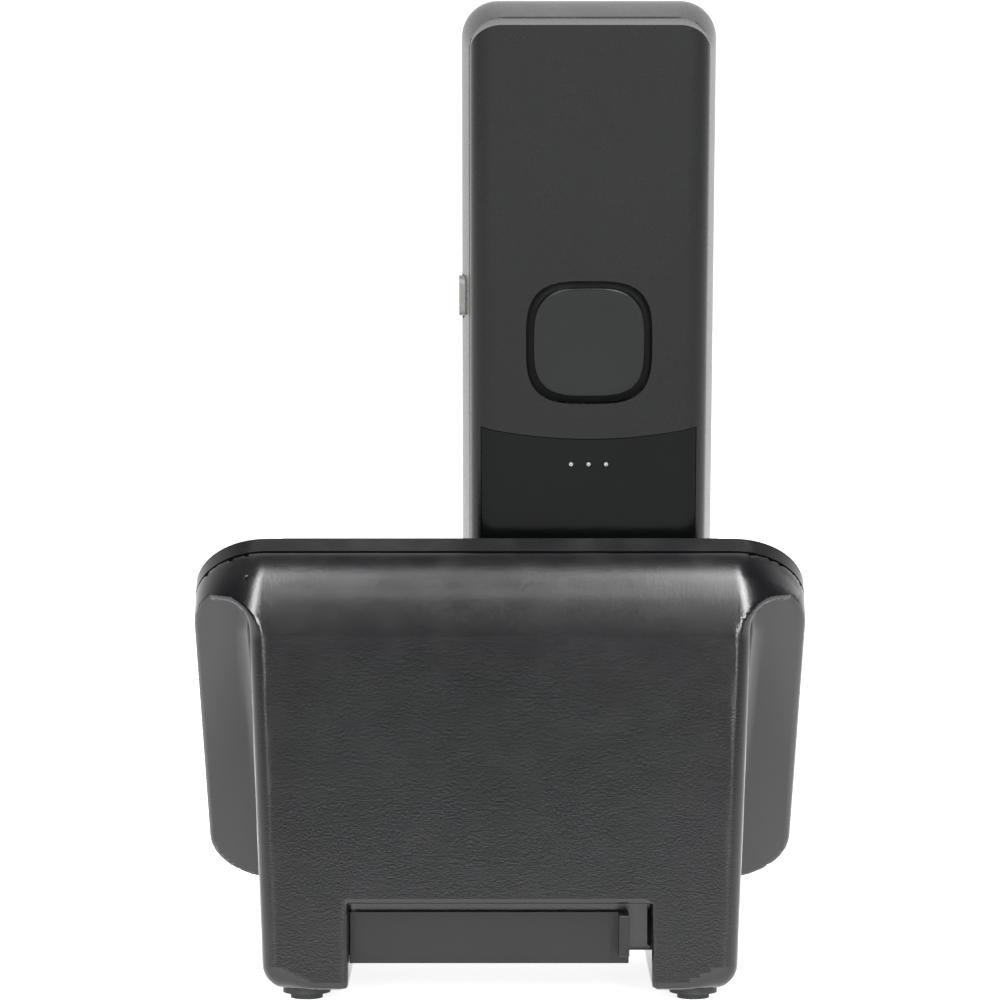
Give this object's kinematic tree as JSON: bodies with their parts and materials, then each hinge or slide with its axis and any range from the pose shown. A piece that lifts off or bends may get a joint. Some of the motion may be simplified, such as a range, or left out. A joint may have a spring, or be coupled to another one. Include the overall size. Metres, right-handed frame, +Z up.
{
  "type": "cordless phone with base",
  "caption": "Cordless phone handset standing in a tilted charging base with message keys, on two legs with a cable recess behind.",
  "frame": {"origin": "centre of the whole object's footprint box, on the table", "axes": "+Z up, -Y towards the user's side with the keys, +X to the right as the user sees it"},
  "size_m": [0.1194, 0.0853, 0.1938],
  "materials": {
    "cover_plastic": "fine moulded grain",
    "shell_plastic": "fine moulded grain with a satin sheen",
    "bottom_plastic": "fine moulded grain",
    "cradle_plastic": "satin moulded",
    "contact_metal": "gold plated",
    "contact_steel": "nickel plated",
    "panel_gloss": "polished",
    "window_clear": "polished smoked window",
    "counter_red": "red segments on a dark face",
    "speaker_metal": "stamped basket with a dark cone",
    "board_green": "solder mask",
    "zinc_steel": "zinc plated",
    "jack_plastic": "moulded",
    "foot_rubber": "soft matt",
    "housing_plastic": "smooth satin plastic",
    "back_plastic": "satin with a fine grain",
    "cap_plastic": "satin with a fine grain",
    "door_plastic": "satin with a fine grain",
    "display_grey": "reflective display",
    "mat_rubber": "silicone",
    "cell_wrap": "printed sleeve with bright ends",
    "side_key_plastic": "satin",
    "talk_green": "translucent key",
    "off_red": "translucent key",
    "navigation_plastic": "satin metallic",
    "play_gloss": "polished with a lit ring",
    "key_plastic": "satin key tops"
  },
  "bodies": {
    "base": {"front_cover": "cover_plastic", "rear_shell": "shell_plastic", "bottom_cover": "bottom_plastic", "cradle": "cradle_plastic", "charge_pins": "contact_metal", "control_panel": "panel_gloss", "counter_window": "window_clear", "counter_display": "counter_red", "base_speaker": "speaker_metal", "key_board": "board_green", "main_board": "board_green", "ballast_plate": "zinc_steel", "line_jack": "jack_plastic", "power_jack": "jack_plastic", "rubber_feet": "foot_rubber", "base_screws": "zinc_steel"},
    "handset": {"front_housing": "housing_plastic", "back_housing": "back_plastic", "speaker_cap": "cap_plastic", "rear_speaker": "speaker_metal", "lens": "window_clear", "display": "display_grey", "earpiece": "speaker_metal", "microphone": "zinc_steel", "handset_board": "board_green", "keypad_mat": "mat_rubber", "cells": "cell_wrap", "battery_contacts": "contact_steel", "charge_plates": "contact_metal", "handset_screws": "zinc_steel"},
    "battery_door": {"battery_door": "door_plastic"},
    "side_key": {"side_key": "side_key_plastic"},
    "play_key": {"play_key": "play_gloss"},
    "erase_key": {"erase_key": "key_plastic"},
    "answer_key": {"answer_key": "key_plastic"},
    "skip_back_key": {"skip_back_key": "key_plastic"},
    "skip_forward_key": {"skip_forward_key": "key_plastic"},
    "volume_down_key": {"volume_down_key": "key_plastic"},
    "volume_up_key": {"volume_up_key": "key_plastic"},
    "locator_key": {"locator_key": "key_plastic"},
    "talk_key": {"talk_key": "talk_green"},
    "off_key": {"off_key": "off_red"},
    "soft_left_key": {"soft_left_key": "key_plastic"},
    "soft_right_key": {"soft_right_key": "key_plastic"},
    "navigation_key": {"navigation_key": "navigation_plastic"},
    "number_1_key": {"number_1_key": "key_plastic"},
    "number_2_key": {"number_2_key": "key_plastic"},
    "number_3_key": {"number_3_key": "key_plastic"},
    "number_4_key": {"number_4_key": "key_plastic"},
    "number_5_key": {"number_5_key": "key_plastic"},
    "number_6_key": {"number_6_key": "key_plastic"},
    "number_7_key": {"number_7_key": "key_plastic"},
    "number_8_key": {"number_8_key": "key_plastic"},
    "number_9_key": {"number_9_key": "key_plastic"},
    "star_key": {"star_key": "key_plastic"},
    "number_0_key": {"number_0_key": "key_plastic"},
    "hash_key": {"hash_key": "key_plastic"}
  },
  "joints": [
    {"name": "handset_lift", "type": "slide", "parent": "base", "child": "handset", "axis": [0, 0.2164, 0.9763], "range_m": [0, 0.065]},
    {"name": "battery_door_slide", "type": "slide", "parent": "handset", "child": "battery_door", "axis": [0, -0.2164, -0.9763], "range_m": [0, 0.005]},
    {"name": "side_key_press", "type": "slide", "parent": "handset", "child": "side_key", "axis": [-1, 0, 0], "range_m": [0, 0.0005], "stiffness_N_per_m": 800, "springref_m": -0.0003},
    {"name": "play_key_press", "type": "slide", "parent": "base", "child": "play_key", "axis": [0, 0.7071, -0.7071], "range_m": [0, 0.0008], "stiffness_N_per_m": 700, "springref_m": -0.0004},
    {"name": "erase_key_press", "type": "slide", "parent": "base", "child": "erase_key", "axis": [0, 0.7071, -0.7071], "range_m": [0, 0.0008], "stiffness_N_per_m": 700, "springref_m": -0.0004},
    {"name": "answer_key_press", "type": "slide", "parent": "base", "child": "answer_key", "axis": [0, 0.7071, -0.7071], "range_m": [0, 0.0008], "stiffness_N_per_m": 700, "springref_m": -0.0004},
    {"name": "skip_back_key_press", "type": "slide", "parent": "base", "child": "skip_back_key", "axis": [0, 0.7071, -0.7071], "range_m": [0, 0.0008], "stiffness_N_per_m": 700, "springref_m": -0.0004},
    {"name": "skip_forward_key_press", "type": "slide", "parent": "base", "child": "skip_forward_key", "axis": [0, 0.7071, -0.7071], "range_m": [0, 0.0008], "stiffness_N_per_m": 700, "springref_m": -0.0004},
    {"name": "volume_down_key_press", "type": "slide", "parent": "base", "child": "volume_down_key", "axis": [0, 0.7071, -0.7071], "range_m": [0, 0.0008], "stiffness_N_per_m": 700, "springref_m": -0.0004},
    {"name": "volume_up_key_press", "type": "slide", "parent": "base", "child": "volume_up_key", "axis": [0, 0.7071, -0.7071], "range_m": [0, 0.0008], "stiffness_N_per_m": 700, "springref_m": -0.0004},
    {"name": "locator_key_press", "type": "slide", "parent": "base", "child": "locator_key", "axis": [0, 0.7071, -0.7071], "range_m": [0, 0.0008], "stiffness_N_per_m": 700, "springref_m": -0.0004},
    {"name": "talk_key_press", "type": "slide", "parent": "handset", "child": "talk_key", "axis": [0, 0.9763, -0.2164], "range_m": [0, 0.0008], "stiffness_N_per_m": 700, "springref_m": -0.0004},
    {"name": "off_key_press", "type": "slide", "parent": "handset", "child": "off_key", "axis": [0, 0.9763, -0.2164], "range_m": [0, 0.0008], "stiffness_N_per_m": 700, "springref_m": -0.0004},
    {"name": "soft_left_key_press", "type": "slide", "parent": "handset", "child": "soft_left_key", "axis": [0, 0.9763, -0.2164], "range_m": [0, 0.0008], "stiffness_N_per_m": 700, "springref_m": -0.0004},
    {"name": "soft_right_key_press", "type": "slide", "parent": "handset", "child": "soft_right_key", "axis": [0, 0.9763, -0.2164], "range_m": [0, 0.0008], "stiffness_N_per_m": 700, "springref_m": -0.0004},
    {"name": "navigation_key_press", "type": "slide", "parent": "handset", "child": "navigation_key", "axis": [0, 0.9763, -0.2164], "range_m": [0, 0.0008], "stiffness_N_per_m": 700, "springref_m": -0.0004},
    {"name": "number_1_key_press", "type": "slide", "parent": "handset", "child": "number_1_key", "axis": [0, 0.9763, -0.2164], "range_m": [0, 0.0008], "stiffness_N_per_m": 700, "springref_m": -0.0004},
    {"name": "number_2_key_press", "type": "slide", "parent": "handset", "child": "number_2_key", "axis": [0, 0.9763, -0.2164], "range_m": [0, 0.0008], "stiffness_N_per_m": 700, "springref_m": -0.0004},
    {"name": "number_3_key_press", "type": "slide", "parent": "handset", "child": "number_3_key", "axis": [0, 0.9763, -0.2164], "range_m": [0, 0.0008], "stiffness_N_per_m": 700, "springref_m": -0.0004},
    {"name": "number_4_key_press", "type": "slide", "parent": "handset", "child": "number_4_key", "axis": [0, 0.9763, -0.2164], "range_m": [0, 0.0008], "stiffness_N_per_m": 700, "springref_m": -0.0004},
    {"name": "number_5_key_press", "type": "slide", "parent": "handset", "child": "number_5_key", "axis": [0, 0.9763, -0.2164], "range_m": [0, 0.0008], "stiffness_N_per_m": 700, "springref_m": -0.0004},
    {"name": "number_6_key_press", "type": "slide", "parent": "handset", "child": "number_6_key", "axis": [0, 0.9763, -0.2164], "range_m": [0, 0.0008], "stiffness_N_per_m": 700, "springref_m": -0.0004},
    {"name": "number_7_key_press", "type": "slide", "parent": "handset", "child": "number_7_key", "axis": [0, 0.9763, -0.2164], "range_m": [0, 0.0008], "stiffness_N_per_m": 700, "springref_m": -0.0004},
    {"name": "number_8_key_press", "type": "slide", "parent": "handset", "child": "number_8_key", "axis": [0, 0.9763, -0.2164], "range_m": [0, 0.0008], "stiffness_N_per_m": 700, "springref_m": -0.0004},
    {"name": "number_9_key_press", "type": "slide", "parent": "handset", "child": "number_9_key", "axis": [0, 0.9763, -0.2164], "range_m": [0, 0.0008], "stiffness_N_per_m": 700, "springref_m": -0.0004},
    {"name": "star_key_press", "type": "slide", "parent": "handset", "child": "star_key", "axis": [0, 0.9763, -0.2164], "range_m": [0, 0.0008], "stiffness_N_per_m": 700, "springref_m": -0.0004},
    {"name": "number_0_key_press", "type": "slide", "parent": "handset", "child": "number_0_key", "axis": [0, 0.9763, -0.2164], "range_m": [0, 0.0008], "stiffness_N_per_m": 700, "springref_m": -0.0004},
    {"name": "hash_key_press", "type": "slide", "parent": "handset", "child": "hash_key", "axis": [0, 0.9763, -0.2164], "range_m": [0, 0.0008], "stiffness_N_per_m": 700, "springref_m": -0.0004}
  ]
}
